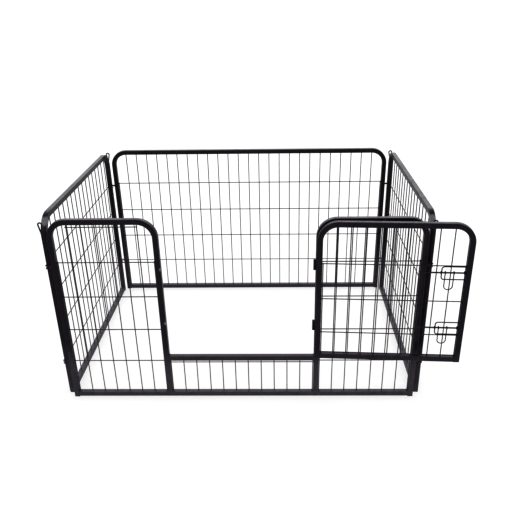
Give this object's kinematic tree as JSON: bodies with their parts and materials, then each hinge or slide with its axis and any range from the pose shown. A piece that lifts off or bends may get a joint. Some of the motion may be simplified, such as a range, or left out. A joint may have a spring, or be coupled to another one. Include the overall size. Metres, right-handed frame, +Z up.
{
  "type": "pet playpen",
  "caption": "Free-standing wire pet playpen: rounded square-tube panels with welded mesh, pinned at the corners, with a hinged door that shuts with slide bolts above a raised sill.",
  "frame": {"origin": "on the floor at the middle of the pen, halfway between the corner pins", "axes": "+X along the long panels to the side the open door lies on, +Y from the doorway panel to the back panel, +Z up"},
  "size_m": [1.3996, 0.8972, 0.7],
  "materials": {
    "tube": "near-black satin powder coat on square steel tube",
    "mesh_wire": "near-black satin powder coat on round steel wire",
    "hardware": "near-black satin coat on hinges, staples, pins, guards, bolts and handles",
    "foot_plug": "matte black moulded plastic"
  },
  "bodies": {
    "back_panel": {"back_hoop": "tube", "back_bottom_rail": "tube", "back_mesh": "mesh_wire", "back_foot_plugs": "foot_plug", "back_staples": "hardware"},
    "left_panel": {"left_hoop": "tube", "left_bottom_rail": "tube", "left_mesh": "mesh_wire", "left_foot_plugs": "foot_plug", "left_staples": "hardware"},
    "right_panel": {"right_hoop": "tube", "right_bottom_rail": "tube", "right_mesh": "mesh_wire", "right_foot_plugs": "foot_plug", "right_staples": "hardware"},
    "front_panel": {"front_left_hoop": "tube", "front_right_hoop": "tube", "front_bottom_rail": "tube", "doorway_sill_rail": "tube", "front_left_mesh": "mesh_wire", "front_right_mesh": "mesh_wire", "doorway_sill_mesh": "mesh_wire", "front_foot_plugs": "foot_plug", "front_staples": "hardware", "hinge_lower_knuckles": "hardware", "hinge_pins": "hardware"},
    "door": {"door_hoop": "tube", "door_bottom_rail": "tube", "door_mesh": "mesh_wire", "hinge_upper_knuckles": "hardware", "lower_latch_guard": "hardware", "upper_latch_guard": "hardware", "post_eyelets": "hardware"},
    "lower_bolt": {"lower_slide_bolt": "hardware"},
    "upper_bolt": {"upper_slide_bolt": "hardware"},
    "lower_handle": {"lower_bolt_handle": "hardware"},
    "upper_handle": {"upper_bolt_handle": "hardware"},
    "pin_back_left": {"back_left_pin": "hardware"},
    "pin_back_right": {"back_right_pin": "hardware"},
    "pin_front_left": {"front_left_pin": "hardware"},
    "pin_front_right": {"front_right_pin": "hardware"}
  },
  "joints": [
    {"name": "left_panel_hinge", "type": "hinge", "parent": "back_panel", "child": "left_panel", "pos_m": [-0.636, 0.416, 0], "axis": [0, 0, 1], "range_deg": [-20, 20]},
    {"name": "right_panel_hinge", "type": "hinge", "parent": "back_panel", "child": "right_panel", "pos_m": [0.636, 0.416, 0], "axis": [0, 0, 1], "range_deg": [-20, 20]},
    {"name": "front_panel_hinge", "type": "hinge", "parent": "left_panel", "child": "front_panel", "pos_m": [-0.636, -0.416, 0], "axis": [0, 0, 1], "range_deg": [-20, 20]},
    {"name": "door_hinge", "type": "hinge", "parent": "front_panel", "child": "door", "pos_m": [0.2525, -0.4265, 0], "axis": [0, 0, -1], "range_deg": [0, 177]},
    {"name": "lower_bolt_slide", "type": "slide", "parent": "door", "child": "lower_bolt", "axis": [0.9986, -0.0523, 0], "range_m": [0, 0.019]},
    {"name": "lower_handle_turn", "type": "hinge", "parent": "lower_bolt", "child": "lower_handle", "pos_m": [0.68754, -0.45621, 0.3127], "axis": [0.9986, -0.0523, 0], "range_deg": [0, 170]},
    {"name": "upper_bolt_slide", "type": "slide", "parent": "door", "child": "upper_bolt", "axis": [0.9986, -0.0523, 0], "range_m": [0, 0.019]},
    {"name": "upper_handle_turn", "type": "hinge", "parent": "upper_bolt", "child": "upper_handle", "pos_m": [0.68754, -0.45621, 0.5209], "axis": [0.9986, -0.0523, 0], "range_deg": [0, 170]},
    {"name": "back_left_pin_lift", "type": "slide", "parent": "back_panel", "child": "pin_back_left", "axis": [0, 0, 1], "range_m": [0, 0.51]},
    {"name": "back_right_pin_lift", "type": "slide", "parent": "back_panel", "child": "pin_back_right", "axis": [0, 0, 1], "range_m": [0, 0.51]},
    {"name": "front_left_pin_lift", "type": "slide", "parent": "left_panel", "child": "pin_front_left", "axis": [0, 0, 1], "range_m": [0, 0.51]},
    {"name": "front_right_pin_lift", "type": "slide", "parent": "front_panel", "child": "pin_front_right", "axis": [0, 0, 1], "range_m": [0, 0.51]}
  ],
  "couplings": [
    {"joint": "right_panel_hinge", "follows": "left_panel_hinge", "ratio": 1},
    {"joint": "front_panel_hinge", "follows": "left_panel_hinge", "ratio": -1}
  ]
}
